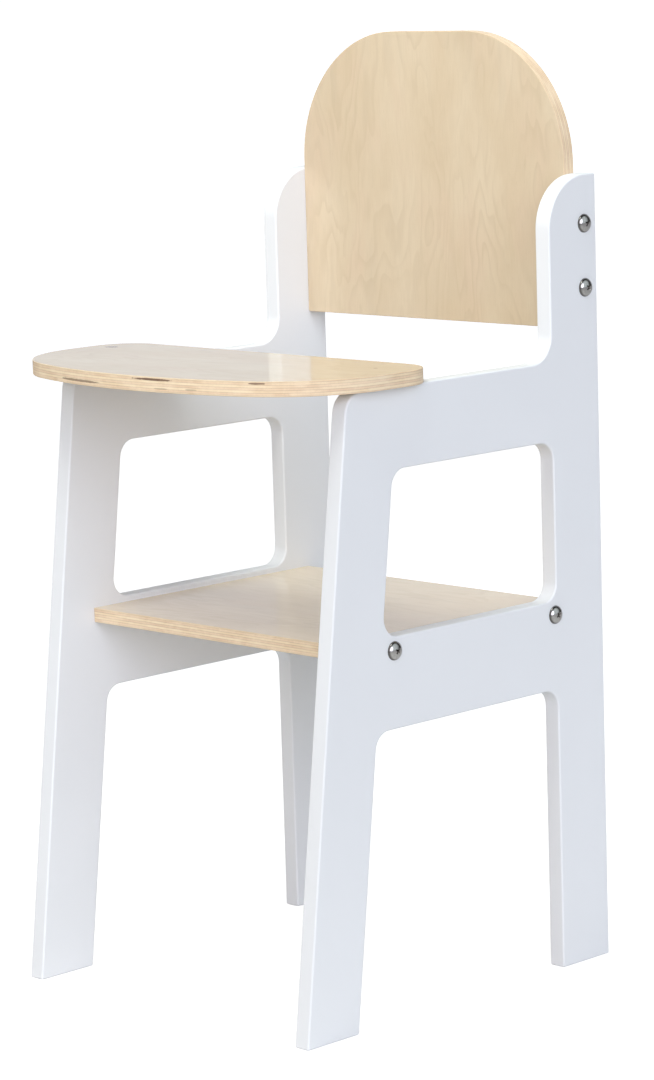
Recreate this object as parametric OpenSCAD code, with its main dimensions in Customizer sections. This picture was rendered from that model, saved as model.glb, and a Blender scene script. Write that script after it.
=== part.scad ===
// Doll's high chair: two painted side panels, three plywood boards, screws and dowels.
// Millimetres. X runs across the chair, -Y is the front and +Z is up. The origin is on the
// floor, in the middle of the chair's outer box. Left and right are as seen from the front.

/* [Overall] */
// Clear width between the two side panels
seat_w = 235; // [190:1:300]
// Depth of a side panel on the floor, from its front toe to its rear edge
side_d = 281.5; // [230:0.5:350]
// Height of the seat's top face above the floor
seat_h = 239.5; // [190:0.5:300]
// Height of the arms' top edges above the seat
arm_rise = 158; // [130:1:200]
// Height of the rear posts above the arms
post_rise = 117.5; // [90:0.5:160]
// Thickness of the painted side panels
side_t = 12; // [9:0.5:18]
// Thickness of the plywood boards
board_t = 9.5; // [7:0.5:12]

/* [Side panels] */
// Width of the rear post
post_w = 45.5; // [36:0.5:60]
// Width of the front leg, measured level
leg_w = 45; // [36:0.5:60]
// How far the front leg leans back between the floor and the arm
leg_lean = 50; // [20:1:80]
// Depth of the rail that forms the arm
arm_rail = 51; // [40:1:70]
// How far the window's sill is above the seat
sill_rise = 4; // [2:0.5:20]
// Depth of the rail that carries the seat
seat_rail = 58; // [45:1:75]
// Radius of the corners of the window
window_r = 12; // [5:0.5:20]
// Radius of the two corners of the arch between the legs
arch_r = 12; // [5:0.5:30]
// Radius where the arm runs into the rear post
arm_blend_r = 18; // [8:1:40]
// Radius at the front end of the arm
arm_nose_r = 14; // [5:0.5:20]
// Radius at the top front corner of the rear post
post_top_r = 34; // [10:1:36]

/* [Seat board] */
// How far the seat's front edge is behind the front legs' front edges, at seat height
seat_front_set = 28; // [10:0.5:45]
// How far the seat's rear edge is in from the panels' rear edges
seat_rear_set = 24.5; // [10:0.5:40]
// From the seat's front edge to its front screws
seat_screw_front = 27; // [15:0.5:50]
// From the seat's rear edge to its rear screws
seat_screw_rear = 22.5; // [15:0.5:50]

/* [Back board] */
// Height of the back board from its lower to its upper edge
back_board_h = 190; // [150:1:240]
// How far the back board's lower edge is above the arms
back_gap = 18.5; // [5:0.5:30]
// Radius of the back board's upper corners
back_r = 85; // [30:1:90]
// How far the back board is in from the panels' rear edges
back_inset = 7; // [3:0.5:15]
// From the back board's lower edge to its lower screws
back_screw_low = 26.5; // [15:0.5:40]
// From the lower to the upper screws of the back board
back_screw_pitch = 41; // [25:0.5:50]

/* [Tray] */
// How far each end of the tray would reach out past its panel, were the tray centred
tray_overhang = 14; // [8:0.5:60]
// How far the tray sits towards the left side
tray_shift = 5; // [0:0.5:6]
// Depth of the tray in its middle
tray_d = 133; // [125:0.5:170]
// How far the middle of the tray's front edge is ahead of the arms
tray_ahead = 59; // [45:0.5:70]
// Radius of the tray's bowed front edge
tray_bow_r = 305; // [240:1:500]
// Radius of the tray's front corners
tray_front_r = 72; // [40:1:85]
// Radius of the tray's rear corners
tray_rear_r = 27; // [5:1:32]

/* [Screws] */
// Diameter of the screws' thread
screw_d = 4; // [3:0.1:5]
// Length of a screw under its head
screw_len = 35; // [25:1:45]
// Diameter of a screw's head
head_d = 12; // [9:0.5:14]
// Height of a screw's head
head_h = 3.4; // [2:0.1:4.5]
// Height of the straight rim under the head's dome
head_rim = 0.8; // [0.3:0.1:1.2]
// Length of the screw's pointed tip
screw_tip = 4; // [2:0.5:6]
// Width across the head's cross recess
cross_w = 5.2; // [3:0.1:6]
// Width of one slot of the cross recess
cross_slot = 1.2; // [0.8:0.1:1.6]
// Depth of the cross recess
cross_depth = 2; // [1:0.1:2.4]
// Space all round the screw where it passes through a side panel
screw_play = 0.2; // [0.1:0.05:0.5]

/* [Tray dowels] */
// Diameter of a dowel
dowel_d = 6; // [4:0.5:8]
// Length of a dowel
dowel_len = 25; // [18:1:32]
// How much of the dowel stands up out of the arm
dowel_up = 6.5; // [4:0.5:8]
// From the front ends of the arms to the front dowels
dowel_front = 20; // [16:1:30]
// From the front to the rear dowels
dowel_pitch = 36; // [20:1:45]
// Size of the bevel round each end of a dowel
dowel_bevel = 0.8; // [0.3:0.1:1.2]
// Space all round the dowel in the tray's hole, so that the tray lifts off
dowel_play = 0.1; // [0.05:0.01:0.1]
// Space above the dowel's end in the tray's hole
dowel_end_gap = 0.5; // [0.2:0.1:1]

/* [Hidden] */
$fn = 96;

// A cut runs this far past the face it leaves through
past = 1;
// A round is this much larger than its distance from the edge it blends into, so that the
// two cross at a point and leave no sliver
ease = 0.001;

// Heights
arm_h = seat_h + arm_rise;
side_h = arm_h + post_rise;
arm_low = arm_h - arm_rail;
sill_z = seat_h + sill_rise;
arch_z = sill_z - seat_rail;
back_low = arm_h + back_gap;
back_top = back_low + back_board_h;

// Sideways: the outer box is centred on X = 0, so the panels stand off it by the tray's shift
panel_out = seat_w / 2 + side_t;
tray_w = 2 * (panel_out + tray_overhang);
reach_left = max(tray_w / 2 + tray_shift, panel_out + head_h);
reach_right = max(tray_w / 2 - tray_shift, panel_out + head_h);
chair_x = (reach_left - reach_right) / 2;
tray_x = chair_x - tray_shift;

// Fore and aft: the outer box runs from the tray's front or the toes to the rear edges
tray_reach = side_d - leg_lean + tray_ahead;
rear_y = max(side_d, tray_reach) / 2;
post_y = rear_y - post_w;
toe_y = rear_y - side_d;
nose_y = toe_y + leg_lean;
tray_front_y = nose_y - tray_ahead;
tray_rear_y = tray_front_y + tray_d;
seat_front_y = leg_front(seat_h) + seat_front_set;
seat_rear_y = rear_y - seat_rear_set;
back_rear_y = rear_y - back_inset;

// Places of the screws, [y, z] on the panels' outer faces, and of the dowels along the arms
seat_screw_z = seat_h - board_t / 2;
back_screw_y = back_rear_y - board_t / 2;
seat_front_hole = [seat_front_y + seat_screw_front, seat_screw_z];
seat_rear_hole = [seat_rear_y - seat_screw_rear, seat_screw_z];
back_low_hole = [back_screw_y, back_low + back_screw_low];
back_high_hole = [back_screw_y, back_low + back_screw_low + back_screw_pitch];
dowel_front_y = nose_y + dowel_front;
dowel_rear_y = dowel_front_y + dowel_pitch;
dowel_x = seat_w / 2 + side_t / 2;

// Front and rear edge of the leaning front leg at height z
function leg_front(z) = toe_y + leg_lean * z / arm_h;
function leg_rear(z) = leg_front(z) + leg_w;

function unit(v) = v / norm(v);
function half_angle(p, a, b) = acos(unit(a - p) * unit(b - p)) / 2;

// What lies between a round of radius r and the corner p, whose edges run to a and b. It
// runs past both edges, so it cuts a corner off an outline or fills an inner one up.
module spandrel(p, a, b, r) {
    half = half_angle(p, a, b);
    inward = unit(unit(a - p) + unit(b - p));
    centre = p + inward * (r - ease) / sin(half);
    foot_a = p + unit(a - p) * (r - ease) / tan(half);
    foot_b = p + unit(b - p) * (r - ease) / tan(half);
    difference() {
        polygon([centre, foot_a + unit(foot_a - centre) * past, p - inward * past / sin(half),
                 foot_b + unit(foot_b - centre) * past]);
        translate(centre) circle(r);
    }
}

// The window between the arm and the seat, in [y, z]
module window_cut() {
    pts = [[leg_rear(sill_z), sill_z], [post_y, sill_z],
           [post_y, arm_low], [leg_rear(arm_low), arm_low]];
    difference() {
        polygon(pts);
        for (i = [0 : 3]) spandrel(pts[i], pts[(i + 3) % 4], pts[(i + 1) % 4], window_r);
    }
}

// The arch between the front leg and the rear post, in [y, z], open at the floor
module arch_cut() {
    heel = [leg_rear(-past), -past];
    front = [leg_rear(arch_z), arch_z];
    rear = [post_y, arch_z];
    post_foot = [post_y, -past];
    difference() {
        polygon([heel, front, rear, post_foot]);
        spandrel(front, heel, rear, arch_r);
        spandrel(rear, front, post_foot, arch_r);
    }
}

// What is cut away above the arm, in front of the rear post, in [y, z]
module arm_cut() {
    inner = [post_y, arm_h];
    above = [post_y, side_h + past];
    ahead = [toe_y - past, arm_h];
    difference() {
        polygon([inner, above, [toe_y - past, side_h + past], ahead]);
        spandrel(inner, above, ahead, arm_blend_r);
    }
}

// Side panel in [y, z]: post, arm, leaning front leg and seat rail in one sheet
module side_outline() {
    toe = [toe_y, 0];
    nose = [nose_y, arm_h];
    rear_top = [rear_y, side_h];
    difference() {
        polygon([toe, [rear_y, 0], rear_top, [leg_front(side_h), side_h]]);
        arm_cut();
        window_cut();
        arch_cut();
        spandrel([post_y, side_h], rear_top, [post_y, arm_h], post_top_r);
        spandrel(nose, [post_y, arm_h], toe, arm_nose_r);
    }
}

// A side panel of the right-hand side, with its inner face on x = seat_w / 2
module side_panel() {
    color("#e6e8ee")
    difference() {
        translate([seat_w / 2, 0, 0])
            rotate([90, 0, 90])
            linear_extrude(side_t) side_outline();
        for (hole = [seat_front_hole, seat_rear_hole, back_low_hole, back_high_hole])
            translate([seat_w / 2 - past, hole[0], hole[1]])
                rotate([0, 90, 0])
                cylinder(d = screw_d + 2 * screw_play, h = side_t + 2 * past);
        for (y = [dowel_front_y, dowel_rear_y])
            translate([dowel_x, y, arm_h - (dowel_len - dowel_up)])
                cylinder(d = dowel_d, h = dowel_len - dowel_up + past);
    }
}

module side_panel_right() {
    translate([chair_x, 0, 0]) side_panel();
}

module side_panel_left() {
    translate([chair_x, 0, 0]) mirror([1, 0, 0]) side_panel();
}

// The hole that a screw's thread and tip cut in a board's end, from the right-hand side
module thread_hole(hole) {
    translate([panel_out, hole[0], hole[1]]) rotate([0, 90, 0]) screw_shank(past);
}

// Both ends of a board are drilled alike
module both_ends() {
    children();
    mirror([1, 0, 0]) children();
}

module seat_board() {
    color("#e4cfae")
    translate([chair_x, 0, 0])
    difference() {
        translate([-seat_w / 2, seat_front_y, seat_h - board_t])
            cube([seat_w, seat_rear_y - seat_front_y, board_t]);
        both_ends() {
            thread_hole(seat_front_hole);
            thread_hole(seat_rear_hole);
        }
    }
}

// Back board in [x, z]: square at the bottom, with two large upper corners
module back_outline() {
    half_w = seat_w / 2;
    low = [[-half_w, back_low], [half_w, back_low]];
    top = [[-half_w, back_top], [half_w, back_top]];
    difference() {
        polygon([low[0], low[1], top[1], top[0]]);
        spandrel(top[0], top[1], low[0], back_r);
        spandrel(top[1], top[0], low[1], back_r);
    }
}

module back_board() {
    color("#dfcaa6")
    translate([chair_x, 0, 0])
    difference() {
        translate([0, back_rear_y, 0])
            rotate([90, 0, 0])
            linear_extrude(board_t) back_outline();
        both_ends() {
            thread_hole(back_low_hole);
            thread_hole(back_high_hole);
        }
    }
}

// What a round front corner takes off the tray's right-hand side: the round touches the
// tray's side at its own centre's level and runs into the bow at joint
module tray_corner_cut() {
    bow_y = tray_front_y + tray_bow_r;
    swing = asin((tray_w / 2 - tray_front_r) / (tray_bow_r - tray_front_r));
    outward = [sin(swing), -cos(swing)];
    joint = [0, bow_y] + tray_bow_r * outward;
    centre = joint - tray_front_r * outward;
    side_x = tray_w / 2 + past;
    difference() {
        polygon([centre, joint + past * outward, [joint[0], tray_front_y - past],
                 [side_x, tray_front_y - past], [side_x, centre[1]]]);
        translate(centre) circle(tray_front_r + ease);
    }
}

// Tray in [x, y]: a bowed front edge, large front corners that run into it, small rear ones
module tray_outline() {
    half_w = tray_w / 2;
    front = [[-half_w, tray_front_y], [half_w, tray_front_y]];
    rear = [[-half_w, tray_rear_y], [half_w, tray_rear_y]];
    difference() {
        intersection() {
            polygon([front[0], front[1], rear[1], rear[0]]);
            translate([0, tray_front_y + tray_bow_r]) circle(tray_bow_r);
        }
        spandrel(rear[0], rear[1], front[0], tray_rear_r);
        spandrel(rear[1], rear[0], front[1], tray_rear_r);
        tray_corner_cut();
        mirror([1, 0]) tray_corner_cut();
    }
}

module tray_board() {
    color("#e6d4b6")
    difference() {
        translate([tray_x, 0, arm_h]) linear_extrude(board_t) tray_outline();
        for (side = [-1, 1], y = [dowel_front_y, dowel_rear_y])
            translate([chair_x + side * dowel_x, y, arm_h - past])
                cylinder(d = dowel_d + 2 * dowel_play, h = past + dowel_up + dowel_end_gap);
    }
}

// Thread and tip of a screw, with the head's seat on z = 0 and the tip pointing down.
// The part above z = 0 is there so that a cut made with it runs past the board's end.
module screw_shank(above) {
    straight = screw_len - screw_tip;
    translate([0, 0, -straight]) cylinder(d = screw_d, h = straight + above);
    translate([0, 0, -screw_len]) cylinder(d1 = 0, d2 = screw_d, h = screw_tip);
}

// Domed head with a cross recess
module screw_head() {
    dome_h = head_h - head_rim;
    dome_r = (pow(head_d / 2, 2) + pow(dome_h, 2)) / (2 * dome_h);
    difference() {
        intersection() {
            cylinder(d = head_d, h = head_h);
            translate([0, 0, head_h - dome_r]) sphere(dome_r);
        }
        for (turn = [0, 90])
            rotate([0, 0, turn])
                translate([-cross_w / 2, -cross_slot / 2, head_h - cross_depth])
                cube([cross_w, cross_slot, cross_depth + past]);
    }
}

// A screw driven in from the right-hand side at [y, z]
module screw(hole) {
    color("#b9bcc2")
    translate([panel_out, hole[0], hole[1]])
        rotate([0, 90, 0]) {
            screw_head();
            screw_shank(0);
        }
}

module right_screw(hole) {
    translate([chair_x, 0, 0]) screw(hole);
}

module left_screw(hole) {
    translate([chair_x, 0, 0]) mirror([1, 0, 0]) screw(hole);
}

module seat_screw_left_front() { left_screw(seat_front_hole); }
module seat_screw_left_rear() { left_screw(seat_rear_hole); }
module seat_screw_right_front() { right_screw(seat_front_hole); }
module seat_screw_right_rear() { right_screw(seat_rear_hole); }
module back_screw_left_lower() { left_screw(back_low_hole); }
module back_screw_left_upper() { left_screw(back_high_hole); }
module back_screw_right_lower() { right_screw(back_low_hole); }
module back_screw_right_upper() { right_screw(back_high_hole); }

// A dowel glued into the top edge of an arm; side is -1 for the left arm and 1 for the right
module dowel(side, y) {
    r = dowel_d / 2;
    color("#d9b98a")
    translate([chair_x + side * dowel_x, y, arm_h - (dowel_len - dowel_up)])
        rotate_extrude()
        polygon([[0, 0], [r - dowel_bevel, 0], [r, dowel_bevel], [r, dowel_len - dowel_bevel],
                 [r - dowel_bevel, dowel_len], [0, dowel_len]]);
}

module tray_dowel_left_front() { dowel(-1, dowel_front_y); }
module tray_dowel_left_rear() { dowel(-1, dowel_rear_y); }
module tray_dowel_right_front() { dowel(1, dowel_front_y); }
module tray_dowel_right_rear() { dowel(1, dowel_rear_y); }

side_panel_left();
side_panel_right();
seat_board();
back_board();
tray_board();
seat_screw_left_front();
seat_screw_left_rear();
seat_screw_right_front();
seat_screw_right_rear();
back_screw_left_lower();
back_screw_left_upper();
back_screw_right_lower();
back_screw_right_upper();
tray_dowel_left_front();
tray_dowel_left_rear();
tray_dowel_right_front();
tray_dowel_right_rear();
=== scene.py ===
# %% [markdown]
# # A doll's high chair
# The chair is two white painted panels, three birch plywood boards, eight domed screws and
# four hidden dowels. The CAD model gives every size and place. What follows gives each part
# its eased edges, its real finish and a plain studio to stand in.

import math

import bmesh
import bpy
from mathutils import Matrix, Vector


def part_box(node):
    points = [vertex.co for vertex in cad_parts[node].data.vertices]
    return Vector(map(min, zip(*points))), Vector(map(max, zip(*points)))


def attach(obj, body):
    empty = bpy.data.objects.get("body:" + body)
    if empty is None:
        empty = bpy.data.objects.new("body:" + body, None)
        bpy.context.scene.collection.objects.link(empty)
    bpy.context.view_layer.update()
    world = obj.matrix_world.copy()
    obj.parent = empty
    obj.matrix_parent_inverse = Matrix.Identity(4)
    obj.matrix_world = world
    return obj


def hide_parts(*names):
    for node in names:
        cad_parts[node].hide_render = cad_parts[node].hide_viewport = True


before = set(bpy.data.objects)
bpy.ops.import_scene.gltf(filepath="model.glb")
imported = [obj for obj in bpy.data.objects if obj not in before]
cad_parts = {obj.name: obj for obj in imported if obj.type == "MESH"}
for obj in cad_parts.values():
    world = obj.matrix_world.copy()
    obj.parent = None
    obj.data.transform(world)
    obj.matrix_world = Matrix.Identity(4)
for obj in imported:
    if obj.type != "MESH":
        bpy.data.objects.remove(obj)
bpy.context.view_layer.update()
MM = 0.001
X, Y, Z = 0, 1, 2

# %% [markdown]
# ## The camera
# The camera looks from a little above the tray and from well back, with a long lens, so that
# upright edges stay nearly upright. It stands off the front right corner. Its distance and
# its aim are shares of the panels' height, so they follow the chair if the chair changes.

# %% Camera
panel_low, panel_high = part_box("side_panel_right")
left_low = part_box("side_panel_left")[0]
PANEL_H = panel_high.z
CHAIR_X = (panel_high.x + left_low.x) / 2
PANEL_MID_Y = (panel_low.y + panel_high.y) / 2


def direction(azimuth, elevation):
    """Unit vector towards a compass angle and a height, in degrees; azimuth 0 is the front."""
    a, e = math.radians(azimuth), math.radians(elevation)
    return Vector((math.sin(a) * math.cos(e), -math.cos(a) * math.cos(e), math.sin(e)))


CAMERA_AZIMUTH, CAMERA_ELEVATION, CAMERA_ROLL = 45.09, 9.16, -1.76
CAMERA_DISTANCE, AIM_HEIGHT = 4.5288 * PANEL_H, 0.5586 * PANEL_H
AIM_FORWARD, AIM_SIDE = 0.0667 * PANEL_H, 0.0719 * PANEL_H

camera_back = direction(CAMERA_AZIMUTH, CAMERA_ELEVATION)
level_side = Vector((0, 0, 1)).cross(camera_back).normalized()
level_up = camera_back.cross(level_side)
aim = Vector((CHAIR_X, PANEL_MID_Y - AIM_FORWARD, AIM_HEIGHT)) + level_side * AIM_SIDE
roll = math.radians(CAMERA_ROLL)
camera_right = level_side * math.cos(roll) + level_up * math.sin(roll)
camera_up = level_up * math.cos(roll) - level_side * math.sin(roll)

lens = bpy.data.cameras.new("studio_camera")
lens.sensor_width = 36
lens.lens = 121.39
lens.clip_end = 200
camera = bpy.data.objects.new("studio_camera", lens)
bpy.context.scene.collection.objects.link(camera)
camera.location = aim + camera_back * CAMERA_DISTANCE
turned = Matrix((camera_right, camera_up, camera_back)).transposed()
camera.rotation_euler = turned.to_euler()
bpy.context.scene.camera = camera
print("camera at", [round(c, 3) for c in camera.location])

# %% [markdown]
# ## Shader maths in Python
# A material is a graph of nodes. Long graphs are hard to read as a list of links, so a small
# class stands for one socket of the graph, and Python's own operators add the Math nodes.
# Every other node comes from one method.

# %% A socket that does arithmetic
class Wire:
    """One output socket of a node tree."""

    def __init__(self, socket):
        self.socket = socket

    @staticmethod
    def node(tree, kind, settings=None, inputs=None, output=0):
        """Adds a node: its settings first, then its sockets' values or links."""
        made = tree.nodes.new(kind)
        for name, value in (settings or {}).items():
            setattr(made, name, value)
        for name, value in (inputs or {}).items():
            if isinstance(value, Wire):
                tree.links.new(value.socket, made.inputs[name])
            else:
                made.inputs[name].default_value = value
        return Wire(made.outputs[output])

    def make(self, kind, settings=None, inputs=None, output=0):
        return Wire.node(self.socket.node.id_data, kind, settings, inputs, output)

    def math(self, operation, *others):
        """A Math node with this value in its first socket."""
        inputs = dict(enumerate((self, *others)))
        return self.make("ShaderNodeMath", {"operation": operation}, inputs)

    def __add__(self, other):
        return self.math("ADD", other)

    def __sub__(self, other):
        return self.math("SUBTRACT", other)

    def __rsub__(self, other):
        return self.make("ShaderNodeMath", {"operation": "SUBTRACT"}, {0: other, 1: self})

    def __mul__(self, other):
        return self.math("MULTIPLY", other)

    def __truediv__(self, other):
        return self.math("DIVIDE", other)

    __radd__, __rmul__ = __add__, __mul__

    def step(self, start, end, low=0.0, high=1.0):
        """Runs smoothly from low to high as the value goes from start to end."""
        settings = {"interpolation_type": "SMOOTHSTEP"}
        inputs = {0: self, 1: start, 2: end, 3: low, 4: high}
        return self.make("ShaderNodeMapRange", settings, inputs)


def vector(x, y, z):
    wire = next(v for v in (x, y, z) if isinstance(v, Wire))
    return wire.make("ShaderNodeCombineXYZ", None, {0: x, 1: y, 2: z})


def noise(place, scale, detail=2.0, roughness=0.5, distortion=0.0):
    settings = {"noise_dimensions": "3D"}
    inputs = {"Vector": place, "Scale": scale, "Detail": detail, "Roughness": roughness,
              "Distortion": distortion}
    return place.make("ShaderNodeTexNoise", settings, inputs)


def mix(factor, a, b):
    """A colour between a and b."""
    settings = {"data_type": "RGBA"}
    a, b = [(*c, 1) if isinstance(c, tuple) else c for c in (a, b)]
    return factor.make("ShaderNodeMix", settings, {0: factor, 6: a, 7: b}, 2)


def new_material(name, **constants):
    """A material with a Principled shader, whose constant sockets are set directly."""
    material = bpy.data.materials.new(name)
    material.use_nodes = True
    shader = material.node_tree.nodes["Principled BSDF"]
    for socket, value in constants.items():
        shader.inputs[socket.replace("_", " ")].default_value = value
    return material, material.node_tree, shader


def place_of(tree):
    """The three object coordinates, in metres."""
    place = Wire.node(tree, "ShaderNodeTexCoord", None, None, "Object")
    return [place.make("ShaderNodeSeparateXYZ", None, {0: place}, i) for i in range(3)]


def facing_of(tree):
    """How much the surface faces each axis, from 0 to 1, whichever way it points."""
    normal = Wire.node(tree, "ShaderNodeNewGeometry", None, None, "Normal")
    parts = [normal.make("ShaderNodeSeparateXYZ", None, {0: normal}, i) for i in range(3)]
    return [part.math("ABSOLUTE") for part in parts]


def feed(tree, shader, name, wire):
    tree.links.new(wire.socket, shader.inputs[name])


def bump(height, strength, distance):
    inputs = {"Height": height, "Strength": strength, "Distance": distance}
    return height.make("ShaderNodeBump", None, inputs)


print("shader helpers ready")

# %% [markdown]
# ## White paint on board
# The panels are fibreboard under a sprayed satin lacquer. The broad faces are smooth, with a
# very fine orange peel. The cut edges drink more paint, so they are a little rougher and
# faintly fibrous. One material does both: the surface's own direction says which it is.

# %% Paint
def paint_material():
    material, tree, shader = new_material("white_satin_paint", Specular_IOR_Level=0.45)
    x, y, z = place_of(tree)
    face = facing_of(tree)[0].step(0.6, 0.95)
    peel = noise(vector(x, y, z), 420, 1.0)
    fibre = noise(vector(x * 3.5, y, z), 900, 3.0, 0.6)
    cloud = noise(vector(x, y, z), 9, 2.0)
    tint = mix(cloud.step(0.35, 0.65), (0.795, 0.80, 0.808), (0.81, 0.815, 0.822))
    worn = noise(vector(x, y, z), 60, 4.0, 0.6)
    dust = worn.step(0.62, 0.8) * (1 - face) * 0.35
    feed(tree, shader, "Base Color", mix(dust, tint, (0.74, 0.74, 0.735)))
    feed(tree, shader, "Roughness", 0.40 + worn * 0.10 + (1 - face) * 0.12)
    height = peel * face + fibre * (1 - face) * 1.6
    feed(tree, shader, "Normal", bump(height, 0.22, 0.06 * MM))
    return material


paint = paint_material()
print("material", paint.name)

# %% [markdown]
# ## Birch plywood
# Seven plies make a 9.5 mm board: a thin sanded veneer on each face and five plies between,
# each laid across its neighbours. A face shows rotary-cut veneer, whose figure is the contour
# lines of the log's growth rings, with fine fibres and short pores. An edge shows the plies:
# those cut along the grain are pale, those cut across it are darker, and thin glue lines part
# them. The material works both out from the point's place in the board. The tray also has a
# few voids in its edge, drawn as dark spots of painted shade, and two small knots on top.
# Each board's veneer is also lightened or darkened as a whole, as painted light and shade.

# %% Plywood
FACE_VENEER = 0.085
INNER_PLIES = 5
VENEER_SHADES = {
    "pale": (0.745, 0.610, 0.430), "tan": (0.690, 0.545, 0.365),
    "pink": (0.730, 0.560, 0.395), "grey": (0.650, 0.535, 0.385),
    "late": (0.560, 0.425, 0.270), "pore": (0.450, 0.320, 0.195),
}
EDGE_SHADES = {
    "along": ((0.900, 0.740, 0.525), (0.830, 0.650, 0.430)),
    "across": ((0.860, 0.675, 0.470), (0.770, 0.565, 0.375)),
    "grit": (0.420, 0.280, 0.165), "glue": (0.360, 0.215, 0.115),
    "arris": (0.520, 0.340, 0.190),
}
# The void colour is painted shade, the dark inside a hollow in the ply
VOID_PAINTED_SHADE, KNOT_SHADE = (0.150, 0.085, 0.050), (0.190, 0.115, 0.070)


def veneer_colour(along, across, seed, tone):
    """Colour and fibre of a veneer face; tone lightens or darkens every shade of it, as painted
    light and shade.
    """
    shade = {name: tuple(value * tone for value in colour)
             for name, colour in VENEER_SHADES.items()}
    flow = noise(vector(across, along * 0.5, seed), 11, 2.0) - 0.5
    bent = across + flow * 0.012
    blotch = noise(vector(bent, along * 0.40, seed), 22, 4.0, 0.6)
    warm = noise(vector(bent, along * 0.35, seed + 7.3), 34, 3.0, 0.6)
    grey = noise(vector(bent, along * 0.30, seed + 5.9), 48, 3.0, 0.6)
    rings = noise(vector(bent, along * 0.24, seed + 3.1), 20, 3.0, 0.55, 0.25)
    rings = rings * 15.0
    phase = rings.math("FRACT")
    late = phase.step(0.35, 0.90) * phase.step(0.90, 1.0, 1.0, 0.0)
    patchy = noise(vector(across, along * 0.4, seed + 9.0), 30, 2.0).step(0.35, 0.65, 0.15, 1.0)
    late = late * patchy
    fibre = noise(vector(bent * 26, along, seed), 60, 4.0, 0.7)
    pore = noise(vector(across * 16, along * 1.1, seed + 1.7), 160, 1.0)
    pore = pore.step(0.68, 0.80)
    base = mix(blotch.step(0.30, 0.70), shade["tan"], shade["pale"])
    base = mix(warm.step(0.48, 0.72) * 0.50, base, shade["pink"])
    base = mix(grey.step(0.50, 0.75) * 0.35, base, shade["grey"])
    base = mix(late * 0.30, base, shade["late"])
    base = mix(fibre.step(0.35, 0.75) * 0.22, base, shade["late"])
    base = mix(pore * 0.30, base, shade["pore"])
    return base, fibre


def ply_colour(place, depth, end_long, end_cross, thickness, seed):
    """Colour of a cut edge, from the depth in the board and how end-on each ply is cut."""
    x, y, z = place
    inner = (depth - FACE_VENEER) * (INNER_PLIES / (1 - 2 * FACE_VENEER))
    wander = noise(vector(x, y, seed), 22, 2.0) - 0.5
    inner = inner + wander * 0.10
    index = inner.math("FLOOR")
    parity = index.math("PINGPONG", 1.0)
    cross = (1 - parity) * inner.step(-0.02, 0.0) * inner.step(
        INNER_PLIES, INNER_PLIES + 0.02, 1.0, 0.0)
    end = end_cross * cross + end_long * (1 - cross)
    run = noise(vector(x * 60, y * 60, index * 7.7 + seed), 1.0, 4.0, 0.65)
    grit = noise(vector(x, y, z * 1.5), 1500, 2.0, 0.7)
    pale = mix(run.step(0.3, 0.7), *EDGE_SHADES["along"])
    dark = mix(run.step(0.35, 0.7), *EDGE_SHADES["across"])
    colour = mix(end.step(0.2, 0.9), pale, dark)
    colour = mix(grit.step(0.5, 0.8) * (0.12 + 0.25 * end), colour, EDGE_SHADES["grit"])
    off_line = inner - inner.math("ROUND")
    off_line = off_line.math("ABSOLUTE") * ((1 - 2 * FACE_VENEER) / INNER_PLIES * thickness)
    glue = off_line.step(0.08 * MM, 0.28 * MM, 1.0, 0.0)
    glue = glue * inner.step(-0.4, -0.2)
    glue = glue * inner.step(INNER_PLIES + 0.2, INNER_PLIES + 0.4, 1.0, 0.0)
    strength = run.step(0.3, 0.7, 0.12, 0.50)
    return mix(glue * strength, colour, EDGE_SHADES["glue"]), grit


def smudge(offset_a, size_a, offset_b, size_b, ragged):
    """A ragged dark spot round a point, full in its middle and gone at its edge."""
    a, b = offset_a / size_a, offset_b / size_b
    away = a * a + b * b + ragged
    return away.step(0.65, 1.05, 1.0, 0.0)


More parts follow.
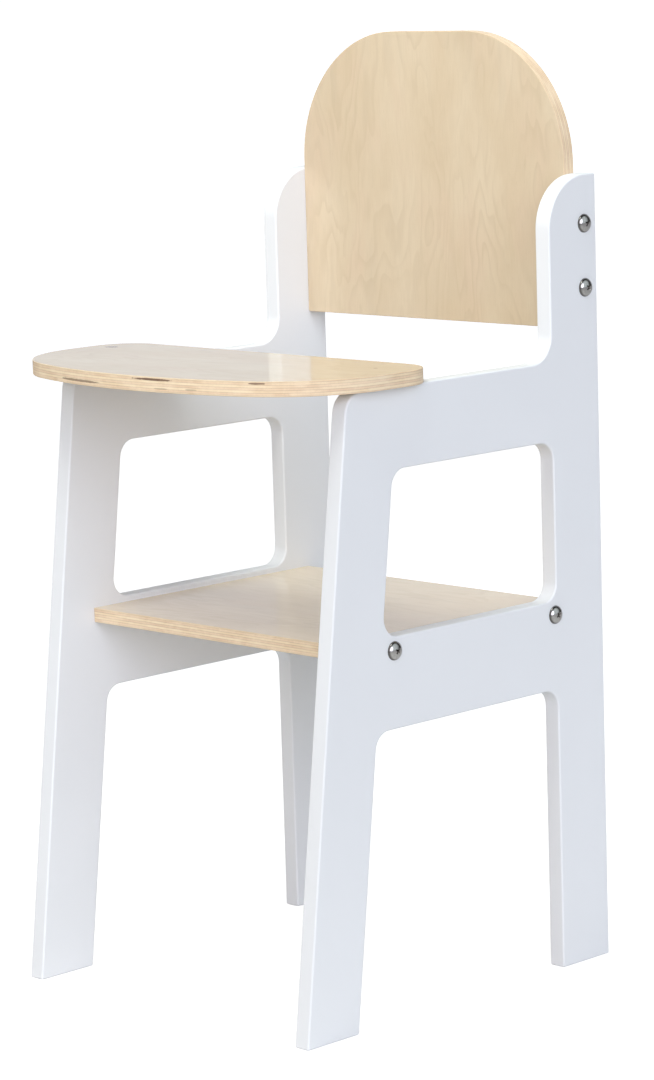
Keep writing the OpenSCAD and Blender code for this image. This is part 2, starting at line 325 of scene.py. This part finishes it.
def plywood_material(name, node, grain, thin, seed, tone, voids=(), knots=()):
    """grain and thin are the axes that the face grain runs along and the board is thin in,
    and tone lightens or darkens the faces as painted light and shade. Voids are (x, half
    length, depth, half height, strength) on the front edge, each a dark spot of painted shade,
    and knots are (x, y, half length, half width, strength) on the top. Lengths are in
    millimetres, x and y are from the board's middle, and depth and half height are shares of
    the thickness."""
    low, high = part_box(node)
    thickness = high[thin] - low[thin]
    middle = (low + high) / 2
    across = 3 - grain - thin
    material, tree, shader = new_material(
        name, Coat_Roughness=0.10, Coat_IOR=1.5, Specular_IOR_Level=0.35)
    place = place_of(tree)
    facing = facing_of(tree)
    depth = (place[thin] - low[thin]) / thickness
    veneer, fibre = veneer_colour(place[grain], place[across], seed, tone)
    flat = [place[i] for i in (X, Y, Z) if i != thin] + [place[thin]]
    edge, grit = ply_colour(flat, depth, facing[grain], facing[across], thickness, seed)
    rim = facing[thin].step(0.80, 0.97, 1.0, 0.0)
    arris = facing[thin].step(0.10, 0.35) * facing[thin].step(0.90, 0.99, 1.0, 0.0)
    edge = mix(arris * 0.45, edge, EDGE_SHADES["arris"])
    ragged = noise(vector(*place), 350, 3.0, 0.7) * 1.6 - 0.8
    # Each void is painted as a dark spot of shade, where the hollow in the ply would be dark
    for at, half, level, tall, strength in voids:
        spot = smudge(place[0] - (middle.x + at * MM), half * MM, depth - level, tall, ragged)
        in_front = place[1].step(middle.y, middle.y + MM, 1.0, 0.0)
        edge = mix(spot * strength * in_front, edge, VOID_PAINTED_SHADE)
    for at_x, at_y, half, wide, strength in knots:
        spot = smudge(place[0] - (middle.x + at_x * MM), half * MM,
                      place[1] - (middle.y + at_y * MM), wide * MM, ragged * 0.6)
        veneer = mix(spot * strength * depth.step(0.4, 0.6), veneer, KNOT_SHADE)
    feed(tree, shader, "Base Color", mix(rim, veneer, edge))
    feed(tree, shader, "Roughness", 0.42 + fibre * 0.14 + rim * 0.14)
    feed(tree, shader, "Coat Weight", 0.95 - rim * 0.75)
    feed(tree, shader, "Normal", bump(fibre * (1 - rim) + grit * rim * 1.5, 0.25, 0.05 * MM))
    return material


TRAY_VOIDS = [
    (-44, 23, 0.30, 0.085, 0.70), (25, 17, 0.83, 0.075, 0.92), (100, 5.5, 0.86, 0.07, 0.75),
    (32, 6, 0.26, 0.05, 0.35), (55, 5, 0.30, 0.06, 0.35),
]
TRAY_KNOTS = [(-127, 38, 5.5, 4.0, 0.75), (115, 38, 1.6, 1.4, 0.7)]

# The tones are painted light and shade: the seat's veneer is lightened a lot, and the back's and
# the tray's darkened a little
back_ply = plywood_material("birch_ply_back", "back_board", Z, Y, 4.0, 0.93)
seat_ply = plywood_material("birch_ply_seat", "seat_board", X, Z, 11.0, 1.22)
tray_ply = plywood_material(
    "birch_ply_tray", "tray_board", X, Z, 23.0, 0.98, TRAY_VOIDS, TRAY_KNOTS)
print("plywood:", back_ply.name, seat_ply.name, tray_ply.name)

# %% [markdown]
# ## Plated screws and beech dowels
# The screws are nickel plated steel: a metal whose colour is all in its reflections. Low in the
# recess and round the rim of the head the plate is painted near black, as painted shade and a
# painted dark reflection.
# The dowels are bare beech, with short dark rays along the grain.

# %% Metal and beech
PANEL_OUT = panel_high.x - CHAIR_X


def plated_material():
    material, tree, shader = new_material("nickel_plate", Metallic=1.0)
    x, y, z = place_of(tree)
    off_middle = x - CHAIR_X
    out = off_middle.math("ABSOLUTE") - PANEL_OUT
    swirl = noise(vector(x, y, z), 900, 3.0, 0.6)
    tint = mix(swirl.step(0.35, 0.7), (0.60, 0.58, 0.56), (0.50, 0.48, 0.46))
    # Painted shade and a painted dark reflection: near black low on the head, in the recess and
    # round its rim
    painted_rim_shade = out.step(0.9 * MM, 2.1 * MM, 0.85, 0.0)
    feed(tree, shader, "Base Color", mix(painted_rim_shade, tint, (0.10, 0.092, 0.085)))
    feed(tree, shader, "Roughness", 0.10 + swirl * 0.10)
    return material


def beech_material():
    material, tree, shader = new_material("bare_beech")
    x, y, z = place_of(tree)
    tone = noise(vector(x, y, z * 0.2), 120, 3.0)
    ray = noise(vector(x * 3, y * 3, z * 0.5), 700, 1.0).step(0.62, 0.70)
    wood = mix(tone.step(0.3, 0.7), (0.62, 0.42, 0.26), (0.70, 0.50, 0.32))
    feed(tree, shader, "Base Color", mix(ray * 0.6, wood, (0.38, 0.22, 0.13)))
    feed(tree, shader, "Roughness", 0.62 + tone * 0.1)
    feed(tree, shader, "Normal", bump(ray, 0.3, 0.05 * MM))
    return material


plate = plated_material()
beech = beech_material()
print("materials", plate.name, beech.name)

# %% [markdown]
# ## Eased edges on the cut boards
# The panels, the seat and the tray are sawn to shape, and sanding takes the sharp arris off
# every edge. A Bevel modifier on a copy of the CAD mesh does that. The copy is merged first,
# because the CAD's own triangles are loose. Edge weights keep the bevel on the outlines and
# off the screw and dowel holes, where a drill leaves a crisp rim.

# %% Bevelled copies
MERGE_REACH, FACE_REACH = 0.002 * MM, 0.01 * MM
FLAT_ANGLE, CREASE_ANGLE, ARRIS_ANGLE = (math.radians(a) for a in (0.6, 25, 40))
HOLE_CLEARANCE = 5 * MM
SCREWS = sorted(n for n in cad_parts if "screw" in n)
DOWELS = sorted(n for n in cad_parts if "dowel" in n)


def finished(obj, name):
    """A plain mesh object of what obj looks like with its modifiers on. obj is removed."""
    graph = bpy.context.evaluated_depsgraph_get()
    mesh = bpy.data.meshes.new_from_object(obj.evaluated_get(graph))
    bpy.data.objects.remove(obj)
    mesh.name = name
    piece = bpy.data.objects.new(name, mesh)
    bpy.context.scene.collection.objects.link(piece)
    return piece


def merged_copy(node):
    """A copy of a CAD node with its triangles joined and its flat faces whole."""
    mesh = bpy.data.meshes.new(node + "_copy")
    bm = bmesh.new()
    bm.from_mesh(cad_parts[node].data)
    bmesh.ops.remove_doubles(bm, verts=bm.verts, dist=MERGE_REACH)
    bmesh.ops.dissolve_limit(bm, angle_limit=FLAT_ANGLE, verts=bm.verts, edges=bm.edges)
    bm.to_mesh(mesh)
    bm.free()
    mesh.materials.clear()
    obj = bpy.data.objects.new(node + "_copy", mesh)
    bpy.context.scene.collection.objects.link(obj)
    return obj


def ease_edges(obj, thin, radius, segments, holes):
    """Weights the sharp edges of both faces and the outline's corners, and bevels them.
    holes are (centre, clearance): edges nearer than that are left crisp."""
    bm = bmesh.new()
    bm.from_mesh(obj.data)
    weight = bm.edges.layers.float.new("bevel_weight_edge")
    low = min(v.co[thin] for v in bm.verts)
    high = max(v.co[thin] for v in bm.verts)
    for edge in bm.edges:
        if len(edge.link_faces) != 2:
            continue
        a, b = (v.co for v in edge.verts)
        middle = (a + b) / 2
        on_face = any(abs(a[thin] - face) < FACE_REACH and abs(b[thin] - face) < FACE_REACH
                      for face in (low, high))
        corner = abs(a[thin] - b[thin]) > (high - low) * 0.9
        sharp = edge.calc_face_angle() > ARRIS_ANGLE
        near_hole = any((middle - centre).length < reach for centre, reach in holes)
        if sharp and (on_face or corner) and not near_hole:
            edge[weight] = 1.0
        elif edge.calc_face_angle() > CREASE_ANGLE:
            edge.smooth = False
    bm.to_mesh(obj.data)
    bm.free()
    obj.data.shade_smooth()
    bevel = obj.modifiers.new("eased_edges", "BEVEL")
    bevel.limit_method = "WEIGHT"
    bevel.width = radius
    bevel.segments = segments
    bevel.miter_outer = "MITER_ARC"
    obj.modifiers.new("flat_faces", "WEIGHTED_NORMAL").keep_sharp = True


def middle_of(node):
    low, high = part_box(node)
    return (low + high) / 2


def hole_marks(node, thin):
    """Where screws and dowels enter a board, as centres on its two faces with a clearance."""
    low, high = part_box(node)
    marks = []
    for other in SCREWS + DOWELS:
        for face in (low[thin], high[thin]):
            centre = middle_of(other)
            centre[thin] = face
            marks.append((centre, HOLE_CLEARANCE))
    return marks


def eased_board(node, name, thin, radius, segments, material, body):
    copy = merged_copy(node)
    ease_edges(copy, thin, radius, segments, hole_marks(node, thin))
    piece = finished(copy, name)
    piece.data.materials.clear()
    piece.data.materials.append(material)
    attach(piece, body)
    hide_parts(node)
    print(name, len(piece.data.polygons), "faces")


PAINT_ARRIS, PLY_ARRIS = 1.3 * MM, 0.45 * MM
for side in ("left", "right"):
    eased_board("side_panel_" + side, "panel_" + side, X, PAINT_ARRIS, 4, paint,
                "chair")
eased_board("seat_board", "seat", Z, PLY_ARRIS, 3, seat_ply, "chair")
eased_board("tray_board", "tray", Z, PLY_ARRIS, 3, tray_ply, "tray")

# %% [markdown]
# ## Building node trees in Python
# Geometry Nodes suit a shape that follows a rule, and shapes that repeat. A small builder
# keeps the trees short to write: it adds the named inputs, makes nodes with their settings
# and links, and sets a modifier's inputs by their identifiers.

# %% Geometry tree helper
SMOOTH_LIMIT = math.radians(50)


class Recipe:
    """A Geometry Nodes tree with named inputs."""

    def __init__(self, name, **inputs):
        self.tree = bpy.data.node_groups.new(name, "GeometryNodeTree")
        face = self.tree.interface
        face.new_socket("Geometry", in_out="INPUT", socket_type="NodeSocketGeometry")
        face.new_socket("Geometry", in_out="OUTPUT", socket_type="NodeSocketGeometry")
        self.sockets = {}
        for label, value in inputs.items():
            kind = "NodeSocketInt" if isinstance(value, int) else "NodeSocketFloat"
            self.sockets[label] = face.new_socket(
                label.replace("_", " "), in_out="INPUT", socket_type=kind)
        self.values = inputs
        self.group_in = self.tree.nodes.new("NodeGroupInput")

    def value(self, label):
        return Wire(self.group_in.outputs[label.replace("_", " ")])

    def add(self, kind, settings=None, inputs=None, output=0):
        return Wire.node(self.tree, kind, settings, inputs, output)

    def join(self, *parts):
        node = self.tree.nodes.new("GeometryNodeJoinGeometry")
        for part in parts:
            self.tree.links.new(part.socket, node.inputs[0])
        return Wire(node.outputs[0])

    def build(self, geometry, material, name, base=None):
        """Ends the tree, runs it on an object and returns the plain mesh that it gives."""
        real = self.add("GeometryNodeRealizeInstances", None, {0: geometry})
        painted = self.add("GeometryNodeSetMaterial", None, {0: real, "Material": material})
        out = self.tree.nodes.new("NodeGroupOutput")
        self.tree.links.new(painted.socket, out.inputs[0])
        holder = bpy.data.objects.new(name + "_holder", base or bpy.data.meshes.new(name))
        bpy.context.scene.collection.objects.link(holder)
        modifier = holder.modifiers.new("recipe", "NODES")
        modifier.node_group = self.tree
        for label, socket in self.sockets.items():
            modifier[socket.identifier] = self.values[label]
        piece = finished(holder, name)
        bm = bmesh.new()
        bm.from_mesh(piece.data)
        bmesh.ops.recalc_face_normals(bm, faces=bm.faces)
        open_edges = sum(1 for edge in bm.edges if len(edge.link_faces) != 2)
        for edge in bm.edges:
            edge.smooth = edge.calc_face_angle(0.0) < SMOOTH_LIMIT
        bm.to_mesh(piece.data)
        bm.free()
        piece.data.shade_smooth()
        piece.modifiers.new("flat_faces", "WEIGHTED_NORMAL").keep_sharp = True
        print(name, "open edges:", open_edges)
        return finished(piece, name)


def vec(recipe, x=0.0, y=0.0, z=0.0):
    return recipe.add("ShaderNodeCombineXYZ", None, {0: x, 1: y, 2: z})


print("geometry tree helper ready")

# %% [markdown]
# ## The back board, drawn by rule
# The back board is a rectangle with two large upper corners, two nearly sharp lower ones, and
# the same eased arris all round. That is a rule, so Geometry Nodes draw it: a rectangle
# curve gets its corners from Fillet Curve, a short profile is swept along it for the rim,
# and Fill Curve closes both faces.

# %% Back board
CROWN_R, FOOT_R = 85 * MM, 1.5 * MM


def rounded_board(node, name, crown_radius, foot_radius, material):
    low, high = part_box(node)
    size, centre = high - low, (low + high) / 2
    steps = 4
    recipe = Recipe("rounded_board", Width=size.x, Height=size.z, Thickness=size.y,
                    Crown_Radius=crown_radius, Foot_Radius=foot_radius, Arris=PLY_ARRIS,
                    Corner_Points=40, Centre_X=centre.x, Centre_Y=centre.y, Centre_Z=centre.z)
    arris = recipe.value("Arris")
    inset = arris * 2
    outline = recipe.add("GeometryNodeCurvePrimitiveQuadrilateral", {"mode": "RECTANGLE"}, {
        "Width": recipe.value("Width") - inset, "Height": recipe.value("Height") - inset})
    spot = recipe.add("GeometryNodeInputPosition")
    upper = recipe.add("ShaderNodeSeparateXYZ", None, {0: spot}, 1)
    upper = upper.math("GREATER_THAN", 0.0)
    foot = recipe.value("Foot_Radius")
    radius = foot + upper * (recipe.value("Crown_Radius") - foot) - arris
    path = recipe.add("GeometryNodeFilletCurve", {"mode": "POLY"}, {
        "Curve": outline, "Count": recipe.value("Corner_Points"), "Radius": radius})
    # The profile is two quarter rounds of the arris, joined by the straight rim
    line = recipe.add("GeometryNodeCurvePrimitiveLine")
    line = recipe.add("GeometryNodeResampleCurve", None, {"Curve": line, "Count": 2 * steps + 2})
    index = recipe.add("GeometryNodeInputIndex")
    second = index - (steps + 1)
    turned = index.math("MINIMUM", steps) + second.math("MAXIMUM", 0.0)
    angle = turned * (math.pi / 2 / steps)
    lower = index.math("GREATER_THAN", steps + 0.5)
    straight = recipe.value("Thickness") * 0.5 - arris
    profile_x = angle.math("SINE") * arris
    profile_y = angle.math("COSINE") * arris + straight * (1 - lower * 2)
    profile = recipe.add("GeometryNodeSetPosition", None, {
        "Geometry": line, "Position": vec(recipe, profile_x, profile_y)})
    rim = recipe.add("GeometryNodeCurveToMesh", None, {"Curve": path, "Profile Curve": profile})
    face = recipe.add("GeometryNodeFillCurve", {"mode": "NGONS"}, {"Curve": path})
    half = recipe.value("Thickness") * 0.5
    top = recipe.add("GeometryNodeTransform", None, {
        "Geometry": face, "Translation": vec(recipe, z=half)})
    bottom = recipe.add("GeometryNodeTransform", None, {
        "Geometry": face, "Translation": vec(recipe, z=half * -1)})
    bottom = recipe.add("GeometryNodeFlipFaces", None, {0: bottom})
    board = recipe.join(rim, top, bottom)
    board = recipe.add("GeometryNodeMergeByDistance", None, {
        "Geometry": board, "Distance": 0.01 * MM})
    centre_at = vec(recipe, recipe.value("Centre_X"), recipe.value("Centre_Y"),
                    recipe.value("Centre_Z"))
    board = recipe.add("GeometryNodeTransform", None, {
        "Geometry": board, "Translation": centre_at, "Rotation": (math.pi / 2, 0, 0)})
    board = recipe.add("GeometryNodeSetShadeSmooth", None, {"Geometry": board})
    piece = recipe.build(board, material, name)
    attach(piece, "chair")
    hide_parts(node)
    print(name, len(piece.data.polygons), "faces")


rounded_board("back_board", "backrest", CROWN_R, FOOT_R, back_ply)

# %% [markdown]
# ## Turned parts
# A screw and a dowel are both turned: a circle whose radius changes along an axis. A grid
# mesh can be wrapped round that axis by a formula. The same formula cuts the screw's thread,
# by letting the radius follow a helix, and the dowel's flutes, by letting it follow a wave.

# %% Lathe helper
def lathe(recipe, around, rows):
    """A grid ready to be wrapped: its geometry, its angle and its row number."""
    grid = recipe.add("GeometryNodeMeshGrid", None, {
        "Size X": 1.0, "Size Y": 1.0, "Vertices X": around + 1, "Vertices Y": rows + 1})
    spot = recipe.add("GeometryNodeInputPosition")
    u = recipe.add("ShaderNodeSeparateXYZ", None, {0: spot}, 0) + 0.5
    v = recipe.add("ShaderNodeSeparateXYZ", None, {0: spot}, 1) + 0.5
    row = v * rows
    return grid, u * math.tau, row.math("ROUND")


def wrap(recipe, grid, angle, radius, height):
    """Wraps the grid round Z, and closes its seam and its poles."""
    x = angle.math("COSINE") * radius
    y = angle.math("SINE") * radius
    shell = recipe.add("GeometryNodeSetPosition", None, {
        "Geometry": grid, "Position": vec(recipe, x, y, height)})
    return recipe.add("GeometryNodeMergeByDistance", None, {
        "Geometry": shell, "Distance": 0.004 * MM})


def beyond(value, limit):
    return value.math("GREATER_THAN", limit)


def place_mesh(name, places):
    """A mesh of loose points, each with the direction that its part points in."""
    mesh = bpy.data.meshes.new(name)
    mesh.from_pydata([spot for spot, out in places], [], [])
    pointing = mesh.attributes.new("pointing", "FLOAT_VECTOR", "POINT")
    for i, (spot, out) in enumerate(places):
        pointing.data[i].vector = out
    return mesh


def scatter(recipe, part, turn_low, turn_high):
    """Puts the part on every point, pointing its own way and turned by chance."""
    points = Wire(recipe.group_in.outputs["Geometry"])
    pointing = recipe.add("GeometryNodeInputNamedAttribute", {"data_type": "FLOAT_VECTOR"},
                          {"Name": "pointing"})
    aimed = recipe.add("FunctionNodeAlignRotationToVector", {"axis": "Z"}, {
        "Vector": pointing})
    spin = recipe.add("FunctionNodeRandomValue", {"data_type": "FLOAT"}, {
        2: turn_low, 3: turn_high, "Seed": recipe.value("Seed")}, 1)
    spin = recipe.add("FunctionNodeEulerToRotation", None, {0: vec(recipe, z=spin)})
    turned = recipe.add("FunctionNodeRotateRotation", {"rotation_space": "LOCAL"}, {
        "Rotation": aimed, "Rotate By": spin})
    return recipe.add("GeometryNodeInstanceOnPoints", None, {
        "Points": points, "Instance": part, "Rotation": turned})


print("lathe ready")

# %% [markdown]
# ## Eight screws
# Each screw has a domed head with a cross recess, a plain neck and a thread that ends in a
# point. Only the heads show. The recess is cut by a Boolean: four wings that narrow as they
# go down, and a round middle. Every screw stops at its own angle, so the crosses differ.

# %% Screws
HEAD_R, HEAD_H, SHANK_R = 6.0 * MM, 3.3 * MM, 1.95 * MM
POINT_GAP = 0.1 * MM


def screw_places():
    places = []
    for node in SCREWS:
        side = 1 if middle_of(node).x > CHAIR_X else -1
        spot = middle_of(node)
        spot.x = CHAIR_X + side * PANEL_OUT
        places.append((spot, (side, 0, 0)))
    return places


def screw_piece():
    low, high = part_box(SCREWS[0])
    length = (high.x - low.x) - HEAD_H - POINT_GAP
    recipe = Recipe("domed_screw", Head_Radius=HEAD_R, Head_Height=HEAD_H,
                    Shank_Radius=SHANK_R, Thread_Depth=0.55 * MM, Pitch=2.2 * MM,
                    Length=length, Neck=8 * MM, Tip=5 * MM, Recess_Reach=2.6 * MM,
                    Recess_Slot=0.62 * MM, Recess_Depth=2.3 * MM, Seed=5)
    dome_rows, rows = 12, 110
    grid, angle, row = lathe(recipe, 48, rows)
    tilt = row.math("MINIMUM", dome_rows) * (math.pi / 2 / dome_rows)
    below = beyond(row, dome_rows + 0.5)
    along = (row - (dome_rows + 1)) * (1 / (rows - dome_rows - 1)) * recipe.value("Length")
    thread = along / recipe.value("Pitch") - angle * (1 / math.tau)
    thread = thread.math("PINGPONG", 0.5) * 2
    cut = thread * thread * recipe.value("Thread_Depth") * beyond(along, recipe.value("Neck"))
    to_tip = (recipe.value("Length") - along) / recipe.value("Tip")
    to_tip = to_tip.math("MINIMUM", 1.0)
    shank = (recipe.value("Shank_Radius") - cut) * to_tip.math("MAXIMUM", 0.0)
    dome = tilt.math("SINE") * recipe.value("Head_Radius")
    radius = dome * (1 - below) + shank * below
    height = tilt.math("COSINE") * recipe.value("Head_Height") * (1 - below)
    body = wrap(recipe, grid, angle, radius, height - along * below)
    # Each cutter stands on the floor of the recess and ends above the dome
    wing = recipe.add("GeometryNodeMeshCone", {"fill_type": "NGON"}, {
        "Vertices": 4, "Radius Top": recipe.value("Recess_Reach") * 1.45,
        "Radius Bottom": recipe.value("Recess_Reach") * 0.55,
        "Depth": recipe.value("Recess_Depth") * 1.5})
    wing = recipe.add("GeometryNodeTransform", None, {
        "Geometry": wing, "Rotation": (0, 0, math.pi / 4)})
    thin = recipe.value("Recess_Slot") / recipe.value("Recess_Reach")
    recess_floor = recipe.value("Head_Height") - recipe.value("Recess_Depth")
    cutters = []
    for quarter in (0, math.pi / 2):
        slim = recipe.add("GeometryNodeTransform", None, {
            "Geometry": wing, "Scale": vec(recipe, 1.0, thin, 1.0)})
        cutters.append(recipe.add("GeometryNodeTransform", None, {
            "Geometry": slim, "Rotation": (0, 0, quarter),
            "Translation": vec(recipe, z=recess_floor)}))
    hub = recipe.add("GeometryNodeMeshCone", {"fill_type": "NGON"}, {
        "Vertices": 12, "Radius Top": recipe.value("Recess_Slot") * 2.4,
        "Radius Bottom": recipe.value("Recess_Slot") * 1.2,
        "Depth": recipe.value("Recess_Depth") * 1.5})
    cutters.append(recipe.add("GeometryNodeTransform", None, {
        "Geometry": hub, "Translation": vec(recipe, z=recess_floor)}))
    boolean = recipe.tree.nodes.new("GeometryNodeMeshBoolean")
    boolean.operation = "DIFFERENCE"
    boolean.solver = "EXACT"
    recipe.tree.links.new(body.socket, boolean.inputs[0])
    for cutter in cutters:
        recipe.tree.links.new(cutter.socket, boolean.inputs[1])
    solid = recipe.add("GeometryNodeSetShadeSmooth", None, {
        "Geometry": Wire(boolean.outputs[0])})
    screws = scatter(recipe, solid, 0.15, 1.4)
    piece = recipe.build(screws, plate, "screws", place_mesh("screw_places", screw_places()))
    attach(piece, "chair")
    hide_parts(*SCREWS)
    print("screws", len(piece.data.polygons), "faces")


screw_piece()

# %% [markdown]
# ## Four dowels
# The tray sits on four fluted dowels glued into the arms. They show only when the tray is
# lifted off. The flutes let air and glue out of the hole, and both ends are bevelled.

# %% Dowels
def dowel_piece():
    low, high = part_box(DOWELS[0])
    length, radius = high.z - low.z, (high.x - low.x) / 2
    recipe = Recipe("fluted_dowel", Length=length, Radius=radius, Flutes=16,
                    Flute_Depth=0.18 * MM, Bevel=0.8 * MM, Seed=3)
    grid, angle, row = lathe(recipe, 96, 5)
    wave = angle * recipe.value("Flutes")
    wave = wave.math("COSINE") * 0.5 + 0.5
    bevel = recipe.value("Bevel")
    # Rows 0 and 5 are the centres of the ends, 1 and 4 their rims, 2 and 3 the straight side
    at_bevel = (beyond(row, 0.5) - beyond(row, 1.5)) + (beyond(row, 3.5) - beyond(row, 4.5))
    solid = beyond(row, 0.5) - beyond(row, 4.5)
    size = (recipe.value("Radius") - wave * wave * recipe.value("Flute_Depth")) * solid
    size = size - bevel * at_bevel
    straight = recipe.value("Length") - bevel * 2
    height = bevel * beyond(row, 1.5) + straight * beyond(row, 2.5) + bevel * beyond(row, 3.5)
    body = wrap(recipe, grid, angle, size, height)
    body = recipe.add("GeometryNodeSetShadeSmooth", None, {"Geometry": body})
    places = []
    for node in DOWELS:
        spot = middle_of(node)
        spot.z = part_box(node)[0].z
        places.append((spot, (0, 0, 1)))
    piece = recipe.build(scatter(recipe, body, 0.0, math.tau), beech, "dowels",
                         place_mesh("dowel_places", places))
    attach(piece, "chair")
    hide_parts(*DOWELS)
    print("dowels", len(piece.data.polygons), "faces")


dowel_piece()

# %% [markdown]
# ## The studio
# The chair stands on a wide pale floor. The light is that of a product studio: brightest from
# the front right, softer from the front and the right, and weak from behind on the left. From
# behind on the right it is dark, which gives the plated screws their dark shapes. The world
# holds that light as soft patches of a sky, and two softboxes add some from above and from
# the front left. To the camera, the floor is lifted to white, and so is all past it.

# %% Floor, sky and lamps
REACH, FLOOR_LIFT = 60.0, 0.70
floor_mesh = bpy.data.meshes.new("studio_floor")
floor_mesh.from_pydata([(-REACH, -REACH, 0), (REACH, -REACH, 0), (REACH, REACH, 0),
                        (-REACH, REACH, 0)], [], [(0, 1, 2, 3)])
floor = bpy.data.objects.new("studio_floor", floor_mesh)
bpy.context.scene.collection.objects.link(floor)
floor_paint, floor_tree, floor_shader = new_material(
    "pale_floor", Base_Color=(0.75, 0.74, 0.73, 1), Roughness=0.9, Specular_IOR_Level=0.1,
    Emission_Color=(1, 1, 1, 1))
floor_seen = Wire.node(floor_tree, "ShaderNodeLightPath", None, None, "Is Camera Ray")
feed(floor_tree, floor_shader, "Emission Strength", floor_seen * FLOOR_LIFT)
floor_mesh.materials.append(floor_paint)

world = bpy.data.worlds.new("studio")
bpy.context.scene.world = world
world.use_nodes = True
sky = world.node_tree
sky.nodes.clear()
looking = Wire.node(sky, "ShaderNodeTexCoord", None, None, "Generated")


def patch(azimuth, elevation, inner, outer):
    """1 inside a round patch of sky, running softly to 0 between two angles in degrees."""
    towards = direction(azimuth, elevation)
    near = looking.make("ShaderNodeVectorMath", {"operation": "DOT_PRODUCT"},
                        {0: looking, 1: towards}, "Value")
    return near.step(math.cos(math.radians(outer)), math.cos(math.radians(inner)))


# Each soft patch of sky: azimuth, elevation, where it is full and where it ends, in degrees,
# and its colour, which also says how bright it is
SKY_PATCHES = [
    (0, 15, 20, 50, (0.62, 0.59, 0.60)),
    (55, 15, 12, 35, (2.98, 3.04, 3.46)),
    (100, 20, 20, 50, (0.64, 0.72, 0.76)),
    (-135, 15, 25, 60, (0.60, 0.62, 0.68)),
    (-75, 20, 20, 50, (0.08, 0.08, 0.08)),
]
glow = (0.05, 0.05, 0.05)
for azimuth, elevation, inner, outer, colour in SKY_PATCHES:
    part = looking.make("ShaderNodeVectorMath", {"operation": "SCALE"}, {
        0: colour, "Scale": patch(azimuth, elevation, inner, outer)})
    glow = looking.make("ShaderNodeVectorMath", {"operation": "ADD"}, {0: glow, 1: part})
glow = Wire.node(sky, "ShaderNodeBackground", None, {"Color": glow, "Strength": 1.0})
plain = Wire.node(sky, "ShaderNodeBackground", None, {"Color": (1, 1, 1, 1), "Strength": 1.0})
seen = Wire.node(sky, "ShaderNodeLightPath", None, None, "Is Camera Ray")
both = Wire.node(sky, "ShaderNodeMixShader", None, {0: seen, 1: glow, 2: plain})
sky_out = sky.nodes.new("ShaderNodeOutputWorld")
sky.links.new(both.socket, sky_out.inputs[0])


def softbox(name, azimuth, elevation, distance, size, power, colour):
    lamp = bpy.data.lights.new(name, "AREA")
    lamp.shape = "DISK"
    lamp.size = size
    lamp.energy = power
    lamp.color = colour
    box = bpy.data.objects.new(name, lamp)
    bpy.context.scene.collection.objects.link(box)
    towards = direction(azimuth, elevation)
    box.location = Vector((CHAIR_X, 0, PANEL_H * 0.6)) + towards * distance
    box.rotation_euler = towards.to_track_quat("Z", "Y").to_euler()
    box.visible_camera = False


softbox("overhead_softbox", 5, 70, 1.3, 0.7, 12.0, (0.94, 1.0, 0.96))
softbox("front_softbox", -25, 30, 1.3, 0.7, 1.8, (1.0, 1.0, 0.9))
bpy.context.scene.view_settings.view_transform = "Standard"
print("studio ready")
